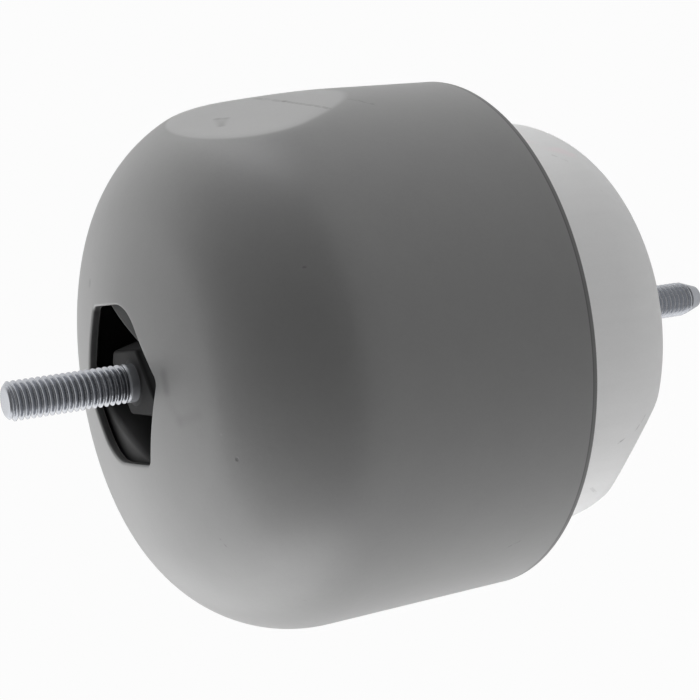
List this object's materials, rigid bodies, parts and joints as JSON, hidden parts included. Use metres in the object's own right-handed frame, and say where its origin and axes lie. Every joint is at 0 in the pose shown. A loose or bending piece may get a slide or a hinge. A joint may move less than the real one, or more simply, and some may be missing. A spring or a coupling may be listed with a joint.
{
  "type": "engine mount",
  "caption": "Fluid-damped engine mount: a rubber cartridge pressed into a steel bell, with a windowed crown, an aluminium can below and a threaded stud at each end.",
  "frame": {"origin": "centre of the flat seat under the lower can, on the studs' common axis", "axes": "+Z along the studs from the lower to the upper one, +X across the window's two flats, +Y from one of its rounded ridges to the other"},
  "size_m": [0.1104, 0.1104, 0.1702],
  "materials": {
    "cover_paint": "matte warm grey coating on a drawn steel sheet",
    "can_aluminium": "satin drawn aluminium with light scuffs",
    "stud_steel": "bluish zinc plating on steel",
    "core_casting": "cast aluminium under a dark bonding coat",
    "black_rubber": "matte moulded natural rubber",
    "ring_steel": "phosphated steel",
    "plate_aluminium": "die cast aluminium"
  },
  "bodies": {
    "root": {"dome_cover": "cover_paint", "upper_stud": "stud_steel", "core": "core_casting", "stop_pad_1": "black_rubber", "stop_pad_2": "black_rubber", "main_spring": "black_rubber", "spring_ring": "ring_steel", "upper_channel_plate": "plate_aluminium", "decoupler": "black_rubber", "lower_channel_plate": "plate_aluminium", "bellows": "black_rubber", "bellows_ring": "ring_steel", "lower_can": "can_aluminium", "base_plate": "ring_steel", "lower_stud": "stud_steel"}
  },
  "joints": []
}
